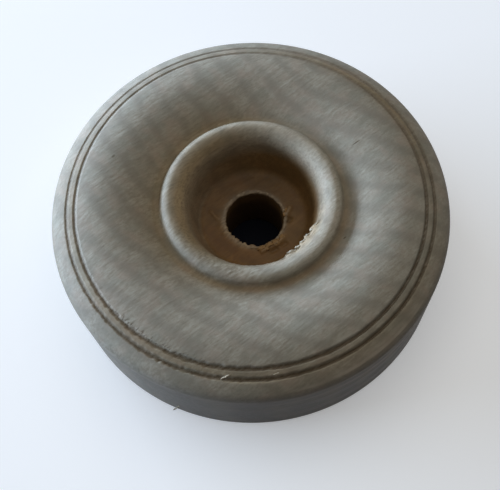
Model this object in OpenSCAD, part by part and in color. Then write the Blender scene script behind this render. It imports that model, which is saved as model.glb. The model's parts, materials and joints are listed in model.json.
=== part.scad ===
// A turned wooden wheel, made from one disc of hardwood.
// Its face is rounded like a tyre, with two thin grooves near the rim. A raised bead stands round
// a sunk hub, and the axle bore runs through the web under it.
// The wheel lies on its flat back: Z = 0 is the back, and the axle bore runs up the Z axis.

/* [Wheel] */
// Diameter over the tread
wheel_d = 63.5; // [54:0.5:90]
// Thickness from the flat back to the crown of the face
wheel_t = 19; // [15:0.5:30]
// Radius of the eased edge between the back and the tread
back_round = 0.9; // [0.3:0.1:2]
// Radius of the round between the face and the tread
shoulder_round = 2; // [0.5:0.1:3]

/* [Face] */
// Distance from the tread in to the crown, the highest ring of the face
crown_inset = 8.7; // [8:0.1:11]
// How far the face falls outward, from its crown to the tread if the corner there were sharp
rim_fall = 3.3; // [1.5:0.1:5]
// How far the face falls inward, from its crown to the valley beside the hub bead
valley_depth = 2.4; // [2:0.1:4]

/* [Grooves] */
// Distance from the tread in to the middle of the outer groove
groove_inset = 2.85; // [2.5:0.05:4]
// Distance between the middles of the two grooves
groove_gap = 1.4; // [1:0.1:3]
// Width of a groove at the surface
groove_w = 0.8; // [0.4:0.05:1]
// Depth of a groove
groove_depth = 0.5; // [0.2:0.05:0.8]

/* [Hub] */
// Diameter over the outside of the raised hub bead
bead_d = 28.8; // [23:0.1:35]
// Width of the bead, from its outside to the mouth of the recess
bead_w = 3.5; // [3:0.1:4]
// Radius of the bead's crest on its outside
bead_round = 1.2; // [0.6:0.1:1.6]
// Radius of the bead's crest on its inside, where it swells down to the bevel
bead_swell = 2.1; // [1:0.1:2.8]
// How far the bead's crest lies below the crown of the face
bead_sink = 0.55; // [0:0.05:1]
// Angle of the bevel inside the bead, down from level
bevel_angle = 49; // [35:1:60]
// How much the recess wall leans in, from its mouth to its floor
wall_lean = 2; // [0:0.1:3]
// Thickness of the web between the recess floor and the back
web_t = 10.4; // [7:0.1:12.5]

/* [Axle] */
// Diameter of the axle bore
bore_d = 9.5; // [6:0.1:12]

/* [Hidden] */
$fn = 128;
arc_step = 5;                       // turn between two points of an arc, in degrees
cut_over = 1;                       // how far a cutter runs past the surface it cuts

wheel_r = wheel_d / 2;
crown_r = wheel_r - crown_inset;
bead_r = bead_d / 2;
valley_z = wheel_t - valley_depth;

// The face is one arc outward from the crown and one arc inward, both level at the crown
outer_arc_r = sagitta_radius(crown_inset, rim_fall);
outer_arc_z = wheel_t - outer_arc_r;
inner_arc_r = sagitta_radius(crown_r - bead_r, valley_depth);
inner_arc_z = wheel_t - inner_arc_r;
valley_angle = 90 + asin((crown_r - bead_r) / inner_arc_r);

// The shoulder's round touches the outer arc from inside, and the tread
shoulder_r = wheel_r - shoulder_round;
shoulder_rise = sqrt((outer_arc_r - shoulder_round) ^ 2 - (crown_inset - shoulder_round) ^ 2);
shoulder_z = outer_arc_z + shoulder_rise;
shoulder_angle = atan2(shoulder_rise, shoulder_r - crown_r);

// The bead has a crest of two arcs, a straight outside and a bevel down to the mouth of the recess
crest_r = bead_r - bead_round;
crest_z = wheel_t - bead_sink;
bevel_r = crest_r - bead_swell * sin(bevel_angle);
bevel_z = crest_z - bead_swell * (1 - cos(bevel_angle));
mouth_r = bead_r - bead_w;
mouth_z = bevel_z - (bevel_r - mouth_r) * tan(bevel_angle);
floor_r = mouth_r - wall_lean;

// Radius of an arc that is level at one end and has fallen by drop after run
function sagitta_radius(run, drop) = (run ^ 2 + drop ^ 2) / (2 * drop);

// Height of the face outside its crown, at radius r
function face_z(r) = outer_arc_z + sqrt(outer_arc_r ^ 2 - (r - crown_r) ^ 2);

// Points of an arc of radius r round [x, z], from one angle to another
function arc(x, z, r, from, to) =
    let (steps = ceil(abs(to - from) / arc_step))
    [for (i = [0:steps]) let (a = from + (to - from) * i / steps) [x + r * cos(a), z + r * sin(a)]];

// Half of the wheel's section, from the axis along the back, up the tread and in over the face
module half_section() {
    polygon(concat(
        [[0, 0]],
        arc(wheel_r - back_round, back_round, back_round, -90, 0),
        arc(shoulder_r, shoulder_z, shoulder_round, 0, shoulder_angle),
        arc(crown_r, outer_arc_z, outer_arc_r, shoulder_angle, 90),
        arc(crown_r, inner_arc_z, inner_arc_r, 90, valley_angle),
        arc(crest_r, crest_z - bead_round, bead_round, 0, 90),
        arc(crest_r, crest_z - bead_swell, bead_swell, 90, 90 + bevel_angle),
        [[mouth_r, mouth_z], [floor_r, web_t], [0, web_t]]
    ));
}

// V-shaped cutter for one groove, with its point groove_depth under the face at radius r
module groove_cutter(r) {
    slope = groove_depth / (groove_w / 2);
    half_top = (groove_depth + cut_over) / slope;
    translate([r, face_z(r)])
        polygon([[0, -groove_depth], [half_top, cut_over], [-half_top, cut_over]]);
}

module wheel() {
    color("tan")
    difference() {
        rotate_extrude()
        difference() {
            half_section();
            groove_cutter(wheel_r - groove_inset);
            groove_cutter(wheel_r - groove_inset - groove_gap);
        }
        translate([0, 0, -cut_over]) cylinder(d = bore_d, h = web_t + 2 * cut_over);
    }
}

wheel();
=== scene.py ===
import json
import math

import bmesh
import bpy
from mathutils import Matrix, Quaternion, Vector, noise


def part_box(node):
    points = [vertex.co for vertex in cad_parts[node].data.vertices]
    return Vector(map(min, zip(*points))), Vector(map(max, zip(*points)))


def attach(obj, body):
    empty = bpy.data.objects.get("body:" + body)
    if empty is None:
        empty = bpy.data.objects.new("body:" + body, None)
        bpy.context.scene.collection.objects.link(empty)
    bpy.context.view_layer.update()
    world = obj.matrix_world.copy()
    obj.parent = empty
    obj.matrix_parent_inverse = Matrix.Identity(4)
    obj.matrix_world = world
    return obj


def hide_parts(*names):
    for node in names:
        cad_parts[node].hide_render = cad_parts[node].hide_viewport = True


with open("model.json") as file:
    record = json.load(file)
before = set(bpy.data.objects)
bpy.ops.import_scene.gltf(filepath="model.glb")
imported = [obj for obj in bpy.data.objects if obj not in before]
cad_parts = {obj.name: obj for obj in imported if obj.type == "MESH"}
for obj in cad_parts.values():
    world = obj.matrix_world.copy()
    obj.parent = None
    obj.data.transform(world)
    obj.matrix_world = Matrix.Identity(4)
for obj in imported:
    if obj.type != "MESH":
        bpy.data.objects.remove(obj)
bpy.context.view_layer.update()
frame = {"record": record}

# ------------------------------------------------------------------------------------------------
# The turned wheel
# One disc of pale hardwood, turned on a lathe: flat back, rounded face with two fine grooves near the
# rim, and a raised bead round a sunk hub. The axle bore is drilled through the web last. The cutters
# have left torn fibres round its mouth and on the lip of the recess.
# ------------------------------------------------------------------------------------------------
MM = 0.001                              # the outline is drawn in millimetres and scaled at the end
_, top_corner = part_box("wheel")
axle_bore = next(m for m in frame["record"]["mounts"] if m["name"] == "axle_bore")
wheel_r = top_corner.x / MM
wheel_t = top_corner.z / MM
bore_r = axle_bore["dims"]["r_mm"]
web_t = axle_bore["dims"]["length_mm"]
back_round = 0.9
shoulder_round = 2.0
crown_inset = 8.7                       # from the tread in to the crown, the highest ring of the face
rim_fall = 3.3                          # how far the face falls from its crown to the rim
valley_depth = 2.4                      # how far it falls from its crown to the valley beside the bead
groove_inset = 2.85
groove_gap = 1.4
groove_half = 0.4                       # half the width of a groove
groove_depth = 0.5
bead_r = 14.4
bead_w = 3.5
bead_round = 1.2                        # radius of the bead's crest on its outside
bead_swell = 2.1                        # and on its inside
bead_sink = 0.55                        # how far the crest lies below the crown
bevel_angle = 49                        # down from level
hollow_round = 0.9                      # radius of the small hollow between the face and the bead
wall_lean = 2                           # how much the wall of the recess leans in from mouth to floor
lip_lean = 0.35                         # how much the torn top of that wall leans in
lip_drop = 1.1                          # and how far down it reaches
burr_w = 0.9                            # the ring of the recess floor where the drill has torn the wood
torn_depth = 1.5                        # and how far down the bore it has torn it
lip_ease = 0.8                          # how much the corners of the outline are rounded
recess_ease = 0.9
bore_mouth_ease = 0.1
bore_back_ease = 0.25
face_side_z = 10                        # the face, the hub and the recess floor all lie above this
ring_steps = 320
outer_groove_r = wheel_r - groove_inset
inner_groove_r = outer_groove_r - groove_gap
mouth_r = bead_r - bead_w
floor_r = mouth_r - wall_lean


def draw_line(tip, r, z):
    """Draws a straight stretch of the outline from its tip, and returns the new tip."""
    made = bmesh.ops.extrude_vert_indiv(wheel_mesh, verts=[tip])
    made["verts"][0].co = (r, 0, z)
    return made["verts"][0]


def draw_arc(tip, centre_r, centre_z, turn, steps):
    """Carries the tip of the outline round a centre by a turn in degrees, and returns the new tip."""
    made = bmesh.ops.spin(
        wheel_mesh, geom=[tip], cent=(centre_r, 0, centre_z), axis=(0, -1, 0),
        angle=math.radians(turn), steps=steps)
    return next(v for v in made["geom_last"] if isinstance(v, bmesh.types.BMVert))


def sagitta_radius(run, drop):
    """Radius of an arc that is level at one end and has fallen by drop after run."""
    return (run ** 2 + drop ** 2) / (2 * drop)


crown_r = wheel_r - crown_inset
outer_arc_r = sagitta_radius(crown_inset, rim_fall)
outer_arc_z = wheel_t - outer_arc_r
inner_arc_r = sagitta_radius(crown_r - bead_r, valley_depth)
inner_arc_z = wheel_t - inner_arc_r
shoulder_r = wheel_r - shoulder_round
shoulder_rise = math.sqrt((outer_arc_r - shoulder_round) ** 2 - (crown_inset - shoulder_round) ** 2)
shoulder_turn = math.degrees(math.atan2(shoulder_rise, shoulder_r - crown_r))
groove_zone_turns = [math.degrees(math.acos((r - crown_r) / outer_arc_r))
                     for r in (outer_groove_r + 0.7, inner_groove_r - 1.1)]
crest_r = bead_r - bead_round
crest_z = wheel_t - bead_sink
bevel_r = crest_r - bead_swell * math.sin(math.radians(bevel_angle))
bevel_z = crest_z - bead_swell * (1 - math.cos(math.radians(bevel_angle)))
mouth_z = bevel_z - (bevel_r - mouth_r) * math.tan(math.radians(bevel_angle))

# A small hollow joins the face to the outside of the bead, and touches the arcs of both
side_z = crest_z - bead_round
span = math.hypot(crown_r - crest_r, side_z - inner_arc_z)
face_reach = inner_arc_r + hollow_round
foot_turn = math.degrees(math.atan2(side_z - inner_arc_z, crest_r - crown_r)) - 90 - math.degrees(math.acos(
    (face_reach ** 2 + span ** 2 - (bead_round + hollow_round) ** 2) / (2 * face_reach * span)))
hollow_r = crown_r - face_reach * math.sin(math.radians(foot_turn))
hollow_z = inner_arc_z + face_reach * math.cos(math.radians(foot_turn))
side_turn = math.degrees(math.atan2(hollow_z - side_z, hollow_r - crest_r))

wheel_mesh = bmesh.new()
tip = start = wheel_mesh.verts.new((bore_r, 0, 0))
corners = [(start, bore_back_ease)]
tip = draw_line(tip, wheel_r - back_round, 0)
tip = draw_arc(tip, wheel_r - back_round, back_round, 90, 4)
tip = draw_line(tip, wheel_r, outer_arc_z + shoulder_rise)
tip = draw_arc(tip, shoulder_r, outer_arc_z + shoulder_rise, shoulder_turn, 5)
tip = draw_arc(tip, crown_r, outer_arc_z, groove_zone_turns[0] - shoulder_turn, 5)
tip = draw_arc(tip, crown_r, outer_arc_z, groove_zone_turns[1] - groove_zone_turns[0], 32)
tip = draw_arc(tip, crown_r, outer_arc_z, 90 - groove_zone_turns[1], 8)
tip = draw_arc(tip, crown_r, inner_arc_z, foot_turn, 16)
tip = draw_arc(tip, hollow_r, hollow_z, side_turn - 90 - foot_turn, 6)
tip = draw_arc(tip, crest_r, side_z, 90 - side_turn, 5)
tip = draw_arc(tip, crest_r, crest_z - bead_swell, bevel_angle, 7)
tip = draw_line(tip, mouth_r, mouth_z)
corners.append((tip, lip_ease))
tip = draw_line(tip, mouth_r - lip_lean, mouth_z - lip_drop)
tip = draw_line(tip, floor_r, web_t)
corners.append((tip, recess_ease))
tip = draw_line(tip, bore_r + burr_w, web_t)
tip = draw_line(tip, bore_r, web_t)
corners.append((tip, bore_mouth_ease))
tip = draw_line(tip, bore_r, web_t - torn_depth)
wheel_mesh.edges.new((tip, start))
for corner, ease in corners:
    bmesh.ops.bevel(wheel_mesh, geom=[corner], offset=ease, segments=3, profile=0.5,
                    affect="VERTICES", material=-1)


def longest_step(r, z):
    """The longest step allowed along the outline near a point: fine where the wood is torn."""
    if z > web_t - torn_depth and r < bore_r + burr_w:
        return 0.14
    if abs(z - web_t) < 0.01 and r < floor_r - recess_ease:
        return 0.25
    if z > mouth_z - lip_drop and r < bead_r:
        return 0.2
    if r > wheel_r - 0.1 and z > back_round:
        return 0.3
    if z < back_round / 2:
        return 3.0
    return 0.8 if r < bead_r else 1.1


for edge in list(wheel_mesh.edges):
    middle = (edge.verts[0].co + edge.verts[1].co) / 2
    cuts = math.ceil(edge.calc_length() / longest_step(middle.x, middle.z)) - 1
    if cuts > 0:
        bmesh.ops.subdivide_edges(wheel_mesh, edges=[edge], cuts=cuts)

bmesh.ops.spin(wheel_mesh, geom=wheel_mesh.verts[:] + wheel_mesh.edges[:], cent=(0, 0, 0), axis=(0, 0, 1),
               angle=math.tau, steps=ring_steps, use_merge=True)
bmesh.ops.remove_doubles(wheel_mesh, verts=wheel_mesh.verts[:], dist=0.001)
bmesh.ops.recalc_face_normals(wheel_mesh, faces=wheel_mesh.faces[:])


def rings_between(low_r, high_r, low_z, high_z):
    """The edges that run round the axis inside a band of radius and height."""
    found = []
    for edge in wheel_mesh.edges:
        a, b = (v.co for v in edge.verts)
        r_a, r_b = math.hypot(a.x, a.y), math.hypot(b.x, b.y)
        level = abs(a.z - b.z) < 1e-4 and abs(r_a - r_b) < 1e-4
        if level and low_r < r_a < high_r and low_z < a.z < high_z:
            found.append(edge)
    return found


bmesh.ops.subdivide_edges(
    wheel_mesh, edges=rings_between(inner_groove_r - 1, outer_groove_r + 0.6, face_side_z, wheel_t), cuts=2)
bmesh.ops.subdivide_edges(
    wheel_mesh, edges=rings_between(mouth_r - 0.4, bevel_r, mouth_z - 1.2, wheel_t), cuts=1)


fibre_turn = math.radians(32)           # the fibres lie this much from X, in the plane of the disc


def fibre_noise(spot, along, across, draw):
    """Noise drawn out along the fibres, with a pattern of its own for each draw."""
    u = spot.x * math.cos(fibre_turn) + spot.y * math.sin(fibre_turn)
    v = spot.y * math.cos(fibre_turn) - spot.x * math.sin(fibre_turn)
    return noise.noise(Vector((u / along + draw, v / across, spot.z / across)))


def bell(value, middle, half_width):
    """One at the middle, falling smoothly to nothing a few half widths away."""
    return math.exp(-((value - middle) / half_width) ** 2)


def round_bell(azimuth, middle, half_width):
    """The same round the wheel, where 359 and 1 degree are neighbours."""
    return bell((azimuth - middle + 180) % 360 - 180, 0, half_width)


def flat_bell(azimuth, middle, half_width):
    """The same with a broad top and steep sides."""
    return math.exp(-(((azimuth - middle + 180) % 360 - 180) / half_width) ** 4)


def ridge(spot, start, end, half_width):
    """A raised line of fibres between two points, seen from above."""
    (start_x, start_y), (end_x, end_y) = start, end
    run_x, run_y = end_x - start_x, end_y - start_y
    share = ((spot.x - start_x) * run_x + (spot.y - start_y) * run_y) / (run_x ** 2 + run_y ** 2)
    share = min(1, max(0, share))
    off = math.hypot(spot.x - start_x - share * run_x, spot.y - start_y - share * run_y)
    return bell(off, 0, half_width)


# Marks the mesh carries: tread, hub and scorch are painted shade, valley is painted shade and brown tone,
# torn is torn wood and painted light, groove is dirt and painted shade
groove_mark = wheel_mesh.verts.layers.float.new("groove")
comb_mark = wheel_mesh.verts.layers.float.new("comb")
torn_and_lit_mark = wheel_mesh.verts.layers.float.new("torn")
hub_shade_mark = wheel_mesh.verts.layers.float.new("hub")
valley_shade_and_tone_mark = wheel_mesh.verts.layers.float.new("valley")
deep_shade_mark = wheel_mesh.verts.layers.float.new("scorch")
figure_mark = wheel_mesh.verts.layers.float.new("figure")
tread_shade_mark = wheel_mesh.verts.layers.float.new("tread")
ring_mark = wheel_mesh.verts.layers.float.new("rings")


def cut_grooves(vert, spot, r, azimuth, outward):
    """The two grooves are deepest at the front right and wander a little. They fade at the back right, and
    where they cross the fibres at the front left the cutter has combed out short teeth beside them."""
    rough = round_bell(azimuth, 236, 55)
    faded = round_bell(azimuth, 64, 24)
    smeared = round_bell(azimuth, 35, 48)
    open_side = round_bell(azimuth, 298, 78)
    drop = dirt_and_shade = 0
    for groove_r, loss in ((outer_groove_r, 0.6), (inner_groove_r, 0.85)):
        drift = 0.05 * noise.noise(outward * 2.5 + Vector((0, 0, groove_r)))
        drift += 0.12 * rough * fibre_noise(spot, 1.8, 0.55, groove_r)
        spread = 0.8 + 0.14 * open_side + 0.1 * rough + 0.3 * faded
        spread += 0.08 * noise.noise(outward * 5)
        spread += 0.4 * rough * fibre_noise(spot, 1.2, 0.6, 9)
        off = abs(r - groove_r - drift) / (groove_half * spread)
        drop = max(drop, (0.3 + 0.7 * open_side) * (1 - loss * faded) * (1 - min(1, off) ** 1.7))
        off /= 1 + 0.8 * smeared
        # Dirt packed in the grooves, with painted shade that is strongest at the front right, away from the
        # light
        dirt_and_shade = max(dirt_and_shade, (0.62 + 0.38 * open_side) * (1 - 0.3 * smeared) * (1 - min(1, off) ** 1.7))
    vert[groove_mark] = min(1, dirt_and_shade)
    vert[comb_mark] = round_bell(azimuth, 229, 24) * bell(r, inner_groove_r - 0.35, 0.5)
    vert[torn_and_lit_mark] = 0.6 * bell(r, outer_groove_r + 0.45, 0.2) * round_bell(azimuth, 266, 7)
    vert.co.z -= groove_depth * drop


def tear_lip(vert, spot, r, azimuth, outward):
    """The mouth of the recess is torn at the front right, where flaps of wood still hang over it."""
    near_mouth = bell(r, mouth_r, 0.75) * bell(spot.z, mouth_z - 0.1, 0.6)
    if near_mouth <= 0.01:
        return
    tear = round_bell(azimuth, 316, 32)
    flaps = 0.6 * flat_bell(azimuth, 328.5, 4) + 0.65 * flat_bell(azimuth, 321, 3.4)
    flaps += 0.5 * flat_bell(azimuth, 313.5, 5.5) + 0.5 * flat_bell(azimuth, 297.5, 4)
    shreds = fibre_noise(spot, 1.5, 0.55, 4)
    reach = (0.03 + 0.34 * tear) * fibre_noise(spot, 1.3, 0.45, 1) + 0.05 * noise.noise(outward * 6)
    vert.co -= outward * (reach + flaps) * near_mouth
    vert.co.z += near_mouth * tear * 0.5 * shreds
    cream = 0.35 * tear * near_mouth + 0.6 * tear * (0.7 + 1.4 * shreds) * bell(r, mouth_r + 0.3, 0.75)
    vert[torn_and_lit_mark] = min(1, max(0, cream + 1.1 * flaps * near_mouth))
    # Painted shade in the gaps between the shreds
    vert[groove_mark] = near_mouth * tear * min(0.8, max(0, -4 * shreds - 0.6))


def wear_bead(vert, spot, r, azimuth, outward):
    """The bead, its bevel and the wall of the recess keep the marks of a coarse cut across the fibres. The
    crest is nicked at the front left and at the right. Painted light makes the crest paler at the back left
    and right and the bevel paler at the left and back right."""
    vert.co += outward * (0.035 * fibre_noise(spot, 2.2, 0.5, 2) + 0.02 * noise.noise(spot * 0.8))
    nicked = round_bell(azimuth, 240, 40) + 0.7 * round_bell(azimuth, 5, 40)
    vert.co.z += 0.06 * nicked * bell(r, crest_r - 0.4, 1.1) * fibre_noise(spot, 0.8, 0.35, 8)
    vert[figure_mark] = 1.2 * nicked * bell(r, crest_r - 0.4, 1.3)
    # Painted light: a highlight on the crest and light on the bevel
    painted_light = 0.6 * bell(r, crest_r + 0.1, 0.7) * round_bell(azimuth, 115, 85)
    painted_light += 0.95 * bell(r, mouth_r + 0.3, 1.1) * round_bell(azimuth, 170, 48)
    painted_light += 0.45 * bell(r, crest_r + 0.1, 0.9) * round_bell(azimuth, 340, 60)
    painted_light += 0.5 * bell(r, mouth_r + 0.5, 1.1) * round_bell(azimuth, 32, 34)
    vert[torn_and_lit_mark] = min(1, vert[torn_and_lit_mark] + painted_light)


def raise_burr(vert, spot, r, azimuth, outward):
    """The drill has pushed a thin burr up round the bore, left its mouth ragged and pulled out a few chips
    beside it."""
    at_top = bell(spot.z, web_t, 0.7)
    burr = bell(r, bore_r + 0.3, 0.28) * (0.6 + 0.4 * round_bell(azimuth, 110, 75))
    burr *= 1 - 0.9 * round_bell(azimuth, 37, 9)
    burr *= min(1.3, max(0.15, 0.75 + 1.6 * fibre_noise(spot, 0.9, 0.5, 3)))
    left_burr = 0.8 * bell(r, bore_r + 0.6, 0.5) * round_bell(azimuth, 200, 45)
    burr += left_burr * (0.8 + 1.2 * fibre_noise(spot, 1, 0.4, 7))
    lumps = ridge(spot, (5.4, 0.2), (6.1, 1.4), 0.32) + 0.45 * ridge(spot, (-6.9, 1.9), (-5.9, 0.4), 0.25)
    lumps += 0.9 * ridge(spot, (0.9, -6.0), (3.3, -4.8), 0.32)
    lumps += 0.8 * ridge(spot, (3.5, -4.7), (4.7, -3.7), 0.28)
    pits = ridge(spot, (5.6, -1.0), (6.1, -0.4), 0.28) + 0.8 * ridge(spot, (4.3, -5.2), (5.0, -4.8), 0.25)
    pits += 0.7 * ridge(spot, (2.5, -6.2), (3.4, -5.7), 0.25)
    ragged = 0.35 + round_bell(azimuth, 260, 60)
    shift = 0.22 * math.cos(math.radians(azimuth - 335)) + 0.1 * round_bell(azimuth, 272, 18)
    shift -= 0.2 * round_bell(azimuth, 228, 20)
    shift += 0.36 * ragged * fibre_noise(spot, 0.9, 0.4, 5)
    vert.co += outward * shift * at_top * bell(r, bore_r, 0.7)
    if spot.z > web_t - 0.3:
        vert.co.z += 0.3 * burr + 0.5 * lumps - 0.45 * pits + 0.07 * fibre_noise(spot, 1.5, 0.5, 6)
    vert[torn_and_lit_mark] = min(1, (0.75 * burr + 0.9 * lumps) * at_top)
    # Painted shade in the pits
    vert[groove_mark] = min(1, 0.4 * pits)


def brown_hub(vert, spot, r, azimuth):
    """Paints shade into the recess, darker and browner the deeper it lies, most of all on its shaded side,
    and darker still on its floor and in the bore, most of all at the back."""
    shaded = round_bell(azimuth, 150, 80)
    lit_side = round_bell(azimuth, 178, 62)
    brown = min(1, max(0, (crest_z - spot.z) / (3.6 + 1.4 * shaded))) ** (1.7 - 0.5 * shaded)
    brown *= 1 - 0.5 * bell(r, bore_r + 0.3, 0.45) * bell(spot.z, web_t, 0.5)
    if r < bore_r + 3:
        brown *= 1 - 0.3 * vert[torn_and_lit_mark]
    if r > floor_r - 0.3:
        brown *= 1 - 0.4 * lit_side
    vert[hub_shade_mark] = brown
    shade = 0.24 + 0.2 * math.cos(math.radians(azimuth - 100))
    vert[deep_shade_mark] = shade * min(1, max(0, (web_t + 1.6 - spot.z) / 1.6))


def shade_face(vert, r, azimuth):
    """Painted shade browns the foot of the bead, the valley at the back left and the lip at the back left.
    The wood beside the grooves, the recess floor and the lip at the front right are browner, and the outer
    face is darker at the front right."""
    foot = 0.75 * bell(r, bead_r + 0.55, 0.65) * (1 - 0.9 * round_bell(azimuth, 52, 34))
    back_left = min(1, 1.6 * round_bell(azimuth, 163, 70))
    if r > crest_r:
        shaded_valley = back_left * bell(r, bead_r + 1, 3.4) * min(0.75, max(0, r - 14))
        brown = min(1, foot + shaded_valley)
        between_grooves = bell(r, (inner_groove_r + outer_groove_r) / 2, 0.75)
        brown += (0.2 + 0.5 * round_bell(azimuth, 236, 50)) * between_grooves
        brown += 0.5 * round_bell(azimuth, 305, 50) * min(1, max(0, r - 28.2))
        brown += 0.8 * round_bell(azimuth, 38, 36) * bell(r, inner_groove_r + 0.6, 1.3)
        brown += 0.4 * round_bell(azimuth, 165, 28) * bell(r, 29.6, 2)
        vert[valley_shade_and_tone_mark] = brown
        vert[hub_shade_mark] = 0.6 * foot * round_bell(azimuth, 300, 60)
    else:
        golden = bell(r, 7, 3) * (0.3 + 0.7 * round_bell(azimuth, 235, 75))
        golden += back_left * bell(r, mouth_r + 0.7, 1.2)
        golden += 0.55 * round_bell(azimuth, 327, 28) * bell(r, mouth_r + 0.4, 1.1)
        vert[valley_shade_and_tone_mark] = min(1, golden)


def shade_tread(vert, spot, azimuth):
    """Paints shade on the tread, darker below the shoulder and most of all at the front. Growth rings
    show on it edge on.
    """
    rings = round_bell(azimuth, 304, 24) + 0.15 * round_bell(azimuth, 122, 30)
    vert[ring_mark] = min(1, max(0, 17 - spot.z)) * rings
    shade_height = min(1, max(0, (16.2 + 1.2 * round_bell(azimuth, 300, 75) - spot.z) / 3.2))
    front = max(round_bell(azimuth, 260, 60), round_bell(azimuth, 310, 60))
    front -= 0.4 * round_bell(azimuth, 205, 40)
    vert[tread_shade_mark] = shade_height * (0.3 + 0.7 * max(0, front)) * min(1, spot.z / back_round)


for vert in wheel_mesh.verts:
    spot = vert.co.copy()
    r = math.hypot(spot.x, spot.y)
    azimuth = math.degrees(math.atan2(spot.y, spot.x)) % 360
    outward = Vector((spot.x / r, spot.y / r, 0))
    if spot.z > face_side_z and inner_groove_r - 1.6 < r < outer_groove_r + 1:
        cut_grooves(vert, spot, r, azimuth, outward)
    if r < bead_r:
        tear_lip(vert, spot, r, azimuth, outward)
    if floor_r - 0.2 < r < bead_r and spot.z > web_t + 0.2:
        wear_bead(vert, spot, r, azimuth, outward)
    if r < floor_r and spot.z > web_t - torn_depth - 0.2:
        raise_burr(vert, spot, r, azimuth, outward)
    if r < crest_r and spot.z > 0.01:
        brown_hub(vert, spot, r, azimuth)
    # Painted shade darkens the bore more the deeper it goes
    if r < bore_r + 0.6 and spot.z < web_t - 0.1:
        bore_shade = min(0.85, (web_t - spot.z) / 4)
        vert[deep_shade_mark] = max(vert[deep_shade_mark], bore_shade) * min(1, spot.z / 0.15)
    if spot.z > face_side_z:
        shade_face(vert, r, azimuth)
    if r > wheel_r - 2.3:
        shade_tread(vert, spot, azimuth)
    vert[figure_mark] += 1.05 - 0.45 * round_bell(azimuth, 10, 60)  # the grain shows least at the right


def push(spot):
    """A small push in any direction, always the same at the same place."""
    return Vector((noise.noise(spot),
                   noise.noise(spot + Vector((7.3, 0, 0))),
                   noise.noise(spot + Vector((0, 7.3, 0)))))


def chip(root, tip, z, width, pale, brown):
    """Adds a chip of torn wood, from its root to its broken tip, and marks how pale it is and how much
    painted shade browns it.
    """
    (root_x, root_y), (tip_x, tip_y) = root, tip
    run = Vector((tip_x - root_x, tip_y - root_y, 0))
    lay = (Matrix.Translation(((root_x + tip_x) / 2, (root_y + tip_y) / 2, z))
           @ Matrix.Rotation(math.atan2(run.y, run.x), 4, "Z")
           @ Matrix.Diagonal((run.length / 2, width / 2, width * 0.4, 1)))
    made = bmesh.ops.create_icosphere(wheel_mesh, subdivisions=3, radius=1, matrix=lay)
    for vert in made["verts"]:
        vert.co += push(vert.co * 2.5 / width ** 0.5) * width * 0.3
        vert.co += push(vert.co * 4 / width) * width * 0.12
        vert[torn_and_lit_mark] = pale
        vert[hub_shade_mark] = brown


# Six chips lie on the flaps at the lip, five round the bore and two over the outer groove. The last one
# is a splinter that stands out of the tread.
chip((10.4, -4.5), (9.0, -5.4), z=16.85, width=0.55, pale=0.75, brown=0)
chip((10.0, -5.4), (8.5, -6.0), z=16.9, width=0.6, pale=0.75, brown=0)
chip((9.3, -6.2), (7.8, -6.9), z=16.9, width=0.6, pale=0.75, brown=0)
chip((8.6, -7.2), (6.9, -7.8), z=16.85, width=0.7, pale=0.75, brown=0)
chip((7.4, -8.3), (5.9, -8.6), z=16.9, width=0.55, pale=0.75, brown=0)
chip((6.3, -9.0), (4.6, -9.4), z=16.8, width=0.6, pale=0.75, brown=0)
chip((0.2, -5.5), (1.7, -5.3), z=10.45, width=0.9, pale=0.55, brown=0.95)
chip((1.2, -5.5), (2.9, -4.8), z=10.5, width=1.2, pale=0.55, brown=0.95)
chip((2.6, -5.1), (3.9, -4.2), z=10.5, width=1.1, pale=0.55, brown=0.95)
chip((3.9, -4.3), (4.8, -3.3), z=10.45, width=0.8, pale=0.55, brown=0.95)
chip((5.1, 0.1), (5.6, 1.3), z=10.45, width=0.8, pale=0.55, brown=0.95)
chip((-6.7, -28.4), (-5.1, -27.75), z=17.8, width=0.26, pale=1, brown=0)
chip((0.9, -28.5), (2.1, -28.05), z=17.85, width=0.2, pale=1, brown=0)
chip((-13.6, -28.1), (-15.25, -29.0), z=3.7, width=0.24, pale=1, brown=0)

wheel_data = bpy.data.meshes.new("turned_wheel")
bmesh.ops.scale(wheel_mesh, vec=(MM, MM, MM), verts=wheel_mesh.verts[:])
for face in wheel_mesh.faces:
    face.smooth = True
wheel_mesh.to_mesh(wheel_data)
wheel_mesh.free()
turned_wheel = bpy.data.objects.new("turned_wheel", wheel_data)
bpy.context.scene.collection.objects.link(turned_wheel)

turned_wood = bpy.data.materials.new("turned wood")
turned_wood.use_nodes = True
nodes, links = turned_wood.node_tree.nodes, turned_wood.node_tree.links
shader = nodes["Principled BSDF"]
place = nodes.new("ShaderNodeTexCoord").outputs["Object"]


def along_fibres(length, width, turn=33, thickness=None):
    """The place on the wheel, measured in fibres of this length, width and thickness in millimetres."""
    lay = nodes.new("ShaderNodeMapping")
    lay.vector_type = "TEXTURE"
    lay.inputs["Rotation"].default_value = (0, 0, math.radians(turn))
    lay.inputs["Scale"].default_value = (length * MM, width * MM, (thickness or width) * MM)
    links.new(place, lay.inputs["Vector"])
    return lay.outputs["Vector"]


def cloud(where, detail, rough):
    """A soft random pattern, about one patch to each unit of the place it is given."""
    pattern = nodes.new("ShaderNodeTexNoise")
    pattern.inputs["Scale"].default_value = 1
    pattern.inputs["Detail"].default_value = detail
    pattern.inputs["Roughness"].default_value = rough
    links.new(where, pattern.inputs["Vector"])
    return pattern.outputs[0]


def between(value, low, high, bottom=0.0, top=1.0):
    """Stretches a value so that low gives the bottom and high gives the top."""
    stretch = nodes.new("ShaderNodeMapRange")
    links.new(value, stretch.inputs["Value"])
    for name, number in (("From Min", low), ("From Max", high), ("To Min", bottom), ("To Max", top)):
        stretch.inputs[name].default_value = number
    return stretch.outputs["Result"]


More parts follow.
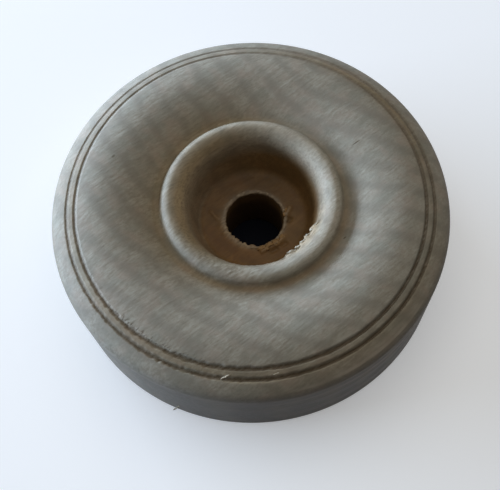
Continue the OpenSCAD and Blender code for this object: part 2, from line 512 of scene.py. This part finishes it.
def times(first, second):
    """Two masks multiplied."""
    product = nodes.new("ShaderNodeMath")
    product.operation = "MULTIPLY"
    for socket, value in zip(product.inputs, (first, second)):
        if isinstance(value, float):
            socket.default_value = value
        else:
            links.new(value, socket)
    return product.outputs[0]


def stain(under, colour, mask, how="MIX"):
    """Lays a colour over what is under it, where the mask says."""
    layer = nodes.new("ShaderNodeMix")
    layer.data_type = "RGBA"
    layer.blend_type = how
    links.new(mask, layer.inputs[0])
    if isinstance(under, tuple):
        layer.inputs[6].default_value = under
    else:
        links.new(under, layer.inputs[6])
    layer.inputs[7].default_value = colour
    return layer.outputs[2]


def mark(name):
    """A mark that the mesh carries, from nothing to full."""
    carried = nodes.new("ShaderNodeAttribute")
    carried.attribute_name = name
    return carried.outputs["Fac"]


def nick(x, y, length, width, turn):
    """A single short mark on the face, full in its middle and gone at its edge."""
    lay = nodes.new("ShaderNodeMapping")
    lay.vector_type = "TEXTURE"
    lay.inputs["Location"].default_value = (x * MM, y * MM, 0)
    lay.inputs["Rotation"].default_value = (0, 0, math.radians(turn))
    lay.inputs["Scale"].default_value = (length / 2 * MM, width / 2 * MM, 1)
    links.new(place, lay.inputs["Vector"])
    from_middle = nodes.new("ShaderNodeVectorMath")
    from_middle.operation = "LENGTH"
    links.new(lay.outputs["Vector"], from_middle.inputs[0])
    return between(from_middle.outputs["Value"], 1, 0.3)


# Colours of the wood. The painted shade of the tread, the recess and the bore, and the painted shade and
# brown tone of the valley darken what is under them, and the rest cover it.
ground = (0.268, 0.236, 0.178, 1)
pale_fleck = (0.335, 0.304, 0.238, 1)
dark_streak = (0.21, 0.182, 0.135, 1)
pale_streak = (0.40, 0.375, 0.305, 1)
dark_fibre = (0.20, 0.168, 0.118, 1)
pale_fibre = (0.42, 0.40, 0.33, 1)
pore_brown = (0.13, 0.098, 0.06, 1)
greenish_patch = (0.222, 0.214, 0.166, 1)
pinkish_patch = (0.345, 0.272, 0.208, 1)
ring_line = (0.60, 0.54, 0.45, 1)
painted_tread_shade = (0.40, 0.40, 0.44, 1)
ripple_shade = (0.205, 0.182, 0.14, 1)
torn_and_lit_pale = (0.56, 0.49, 0.37, 1)
brown_tone_and_shade = (0.78, 0.66, 0.49, 1)
painted_recess_shade = (0.62, 0.38, 0.16, 1)
painted_deep_shade = (0.14, 0.11, 0.09, 1)
packed_dirt_and_shade = (0.07, 0.046, 0.022, 1)
long_nick = (0.09, 0.065, 0.035, 1)
short_nick = (0.10, 0.07, 0.04, 1)
faint_nick = (0.13, 0.11, 0.07, 1)

# Fibres: soft streaks, finer short ones, an even fleck and sparse dark pores along the grain, with broader
# patches of tint over them
streaks = cloud(along_fibres(5, 0.9), 3, 0.55)
fine = cloud(along_fibres(1.5, 0.32), 3, 0.6)
fleck = cloud(along_fibres(0.6, 0.42), 2, 0.6)
pores = cloud(along_fibres(1.2, 0.17, turn=35), 1, 0.5)
patches = cloud(along_fibres(6.5, 2.6), 2, 0.5)
tints = cloud(along_fibres(3.2, 2.4, turn=-40), 2, 0.5)
combed = cloud(along_fibres(2.6, 0.3), 1, 0.5)
rings = cloud(along_fibres(70, 45, thickness=0.8), 1, 0.5)
colour = stain(ground, pale_fleck, between(fleck, 0.3, 0.7))
colour = stain(colour, dark_streak, times(between(streaks, 0.5, 0.7, 0, 0.55), mark("figure")))
colour = stain(colour, pale_streak, times(between(streaks, 0.5, 0.3, 0, 0.5), mark("figure")))
colour = stain(colour, dark_fibre, times(between(fine, 0.5, 0.74, 0, 0.5), mark("figure")))
colour = stain(colour, pale_fibre, times(between(fine, 0.5, 0.26, 0, 0.45), mark("figure")))
colour = stain(colour, pore_brown, between(pores, 0.68, 0.8, 0, 0.3))
colour = stain(colour, greenish_patch, between(patches, 0.46, 0.64, 0, 0.5))
colour = stain(colour, pinkish_patch, between(tints, 0.48, 0.68, 0, 0.42))

# Painted shade darkens the tread, most of all low down at the front, and growth rings show on it as pale
# lines
colour = stain(colour, ring_line, times(between(rings, 0.5, 0.6, 0, 0.9), mark("rings")))
colour = stain(colour, painted_tread_shade, mark("tread"), "MULTIPLY")

# Ripple: broad, faint bands of painted shade across the grain, bowed about a point beside the wheel and
# wavering a little
ripple_centre = (39.5, 48.9, 9)         # millimetres
ripple_waver = 3.5                      # millimetres
ripple_rate = 1.62                      # radians to each millimetre
from_centre = nodes.new("ShaderNodeVectorMath")
from_centre.operation = "DISTANCE"
links.new(along_fibres(1, 1, turn=0), from_centre.inputs[0])
from_centre.inputs[1].default_value = ripple_centre
ripple_place = nodes.new("ShaderNodeMath")
ripple_place.operation = "MULTIPLY_ADD"
links.new(cloud(along_fibres(13, 8, turn=32), 1, 0.5), ripple_place.inputs[0])
ripple_place.inputs[1].default_value = ripple_waver
links.new(from_centre.outputs["Value"], ripple_place.inputs[2])
ripple = nodes.new("ShaderNodeMath")
ripple.operation = "SINE"
links.new(times(ripple_place.outputs[0], ripple_rate), ripple.inputs[0])
colour = stain(colour, ripple_shade,
               times(between(ripple.outputs[0], -0.2, 1, 0, 0.5), between(patches, 0.28, 0.46)))

# Torn fibres show clean pale wood, and painted light makes the crest and bevel paler. Painted shade browns
# the recess and the foot of the bead, and the grooves hold dirt and painted shade
colour = stain(colour, torn_and_lit_pale, times(mark("torn"), between(fine, 0.66, 0.44, 0.35, 0.95)))
colour = stain(colour, brown_tone_and_shade, mark("valley"), "MULTIPLY")
colour = stain(colour, painted_recess_shade, mark("hub"), "MULTIPLY")
colour = stain(colour, painted_deep_shade, mark("scorch"), "MULTIPLY")
dirt_and_shade = between(times(mark("groove"), between(combed, 0.3, 0.7, 0.75, 1.2)), 0.12, 0.9, 0, 0.9)
colour = stain(colour, packed_dirt_and_shade, dirt_and_shade)
colour = stain(colour, packed_dirt_and_shade, times(between(combed, 0.54, 0.66, 0, 0.85), mark("comb")))
colour = stain(colour, long_nick, nick(17.5, 8.25, length=1.9, width=0.26, turn=27))
colour = stain(colour, short_nick, nick(13.8, -7.8, length=0.8, width=0.3, turn=30))
colour = stain(colour, faint_nick, nick(-21.3, 8.9, length=0.9, width=0.5, turn=40))
links.new(colour, shader.inputs["Base Color"])
shader.inputs["Roughness"].default_value = 0.62
shader.inputs["Specular IOR Level"].default_value = 0.28

relief = nodes.new("ShaderNodeBump")
relief.inputs["Strength"].default_value = 0.5
relief.inputs["Distance"].default_value = 0.05 * MM
links.new(fine, relief.inputs["Height"])
coarse = nodes.new("ShaderNodeBump")
coarse.inputs["Strength"].default_value = 0.4
coarse.inputs["Distance"].default_value = 0.06 * MM
links.new(streaks, coarse.inputs["Height"])
links.new(relief.outputs["Normal"], coarse.inputs["Normal"])
links.new(coarse.outputs["Normal"], shader.inputs["Normal"])
turned_wheel.data.materials.append(turned_wood)
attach(turned_wheel, "root")
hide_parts("wheel")

# ------------------------------------------------------------------------------------------------
# The floor, the light and the camera
# A plain pale floor that throws little of its light back on the wheel, a low cool window behind the
# wheel on its left, and a weak light from above. The camera looks down on the face from the front.
# ------------------------------------------------------------------------------------------------
def seen_by_eye_or_gloss(nodes, links):
    """One for the rays that show a surface straight on, mirrored or through glass; none for soft light."""
    ray = nodes.new("ShaderNodeLightPath")
    seen = ray.outputs["Is Camera Ray"]
    for kind in ("Is Glossy Ray", "Is Transmission Ray"):
        either = nodes.new("ShaderNodeMath")
        either.operation = "MAXIMUM"
        links.new(seen, either.inputs[0])
        links.new(ray.outputs[kind], either.inputs[1])
        seen = either.outputs[0]
    return seen


# The floor lies a hair under the back, and it is seen through from below, so that the back shows too
floor_gap = 0.02
dark_r = 12                             # the floor under the bore, which the wheel keeps in the dark
floor_mesh = bmesh.new()
bmesh.ops.create_grid(floor_mesh, x_segments=1, y_segments=1, size=1.5,
                      matrix=Matrix.Translation((0, 0, -floor_gap * MM)))
floor_data = bpy.data.meshes.new("floor")
floor_mesh.to_mesh(floor_data)
floor_mesh.free()
floor = bpy.data.objects.new("floor", floor_data)
bpy.context.scene.collection.objects.link(floor)
floor_material = bpy.data.materials.new("floor")
floor_material.use_nodes = True
nodes, links = floor_material.node_tree.nodes, floor_material.node_tree.links
nodes.remove(nodes["Principled BSDF"])
paint = nodes.new("ShaderNodeBsdfDiffuse")
paint.inputs["Color"].default_value = (0.85, 0.85, 0.84, 1)
lift = nodes.new("ShaderNodeEmission")
lift.inputs["Color"].default_value = (0.97, 0.98, 1.0, 1)
lift.inputs["Strength"].default_value = 0.28
pale = nodes.new("ShaderNodeAddShader")
links.new(paint.outputs[0], pale.inputs[0])
links.new(lift.outputs[0], pale.inputs[1])
quiet = nodes.new("ShaderNodeBsdfDiffuse")
quiet.inputs["Color"].default_value = (0.05, 0.06, 0.12, 1)
floor_mix = nodes.new("ShaderNodeMixShader")
links.new(seen_by_eye_or_gloss(nodes, links), floor_mix.inputs["Fac"])
links.new(quiet.outputs[0], floor_mix.inputs[1])
links.new(pale.outputs[0], floor_mix.inputs[2])
# A painted shadow: the floor under the bore is an unlit dark disc
floor_place = nodes.new("ShaderNodeTexCoord")
from_axle = nodes.new("ShaderNodeVectorMath")
from_axle.operation = "LENGTH"
links.new(floor_place.outputs["Object"], from_axle.inputs[0])
under_bore = nodes.new("ShaderNodeMath")
under_bore.operation = "LESS_THAN"
under_bore.inputs[1].default_value = dark_r * MM
links.new(from_axle.outputs["Value"], under_bore.inputs[0])
unlit = nodes.new("ShaderNodeBsdfDiffuse")
unlit.inputs["Color"].default_value = (0.012, 0.013, 0.018, 1)
dark_under_bore = nodes.new("ShaderNodeMixShader")
links.new(under_bore.outputs[0], dark_under_bore.inputs["Fac"])
links.new(floor_mix.outputs[0], dark_under_bore.inputs[1])
links.new(unlit.outputs[0], dark_under_bore.inputs[2])
seen_through = nodes.new("ShaderNodeMixShader")
links.new(nodes.new("ShaderNodeNewGeometry").outputs["Backfacing"], seen_through.inputs["Fac"])
links.new(dark_under_bore.outputs[0], seen_through.inputs[1])
links.new(nodes.new("ShaderNodeBsdfTransparent").outputs[0], seen_through.inputs[2])
links.new(seen_through.outputs[0], nodes["Material Output"].inputs["Surface"])
floor.data.materials.append(floor_material)


def soft_light(name, azimuth, height, distance, size, size_y, energy, tint):
    """A soft panel of light that faces the wheel from an azimuth and a height in degrees."""
    panel = bpy.data.lights.new(name, "AREA")
    panel.shape = "RECTANGLE"
    panel.size = size
    panel.size_y = size_y
    panel.energy = energy
    panel.color = tint
    lamp = bpy.data.objects.new(name, panel)
    azimuth, height = math.radians(azimuth), math.radians(height)
    toward = Vector((math.cos(azimuth) * math.cos(height),
                     math.sin(azimuth) * math.cos(height),
                     math.sin(height)))
    lamp.location = toward * distance + Vector((0, 0, wheel_t * MM))
    lamp.rotation_euler = toward.to_track_quat("Z", "Y").to_euler()
    bpy.context.scene.collection.objects.link(lamp)


soft_light("window", azimuth=152, height=7, distance=0.6, size=0.9, size_y=0.137, energy=13.0,
           tint=(0.603, 0.762, 1.0))
soft_light("overhead", azimuth=70, height=75, distance=0.7, size=0.9, size_y=0.9, energy=2.5,
           tint=(1.0, 0.99, 0.965))

room_white = (0.96, 0.98, 1.0, 1)
world = bpy.data.worlds.new("room")
bpy.context.scene.world = world
world.use_nodes = True
nodes, links = world.node_tree.nodes, world.node_tree.links
nodes["Background"].inputs["Color"].default_value = room_white
nodes["Background"].inputs["Strength"].default_value = 0.06
backdrop = nodes.new("ShaderNodeBackground")
backdrop.inputs["Color"].default_value = room_white
backdrop.inputs["Strength"].default_value = 0.5
backdrop_mix = nodes.new("ShaderNodeMixShader")
links.new(seen_by_eye_or_gloss(nodes, links), backdrop_mix.inputs["Fac"])
links.new(nodes["Background"].outputs[0], backdrop_mix.inputs[1])
links.new(backdrop.outputs[0], backdrop_mix.inputs[2])
links.new(backdrop_mix.outputs[0], nodes["World Output"].inputs["Surface"])

camera_data = bpy.data.cameras.new("camera")
camera_data.sensor_width = 36
camera_data.lens = 59.3
camera_data.shift_x = -0.12
camera_data.clip_start = 0.005
camera = bpy.data.objects.new("camera", camera_data)
camera.location = Vector((0, -58.57, 133.91)) * MM
aim = Vector((8.3, -8.5, 17.3)) * MM
roll = Quaternion((0, 0, 1), math.radians(3.82))
camera.rotation_mode = "QUATERNION"
camera.rotation_quaternion = (aim - camera.location).to_track_quat("-Z", "Y") @ roll
bpy.context.scene.collection.objects.link(camera)
bpy.context.scene.camera = camera

bpy.context.scene.view_settings.view_transform = "Standard"
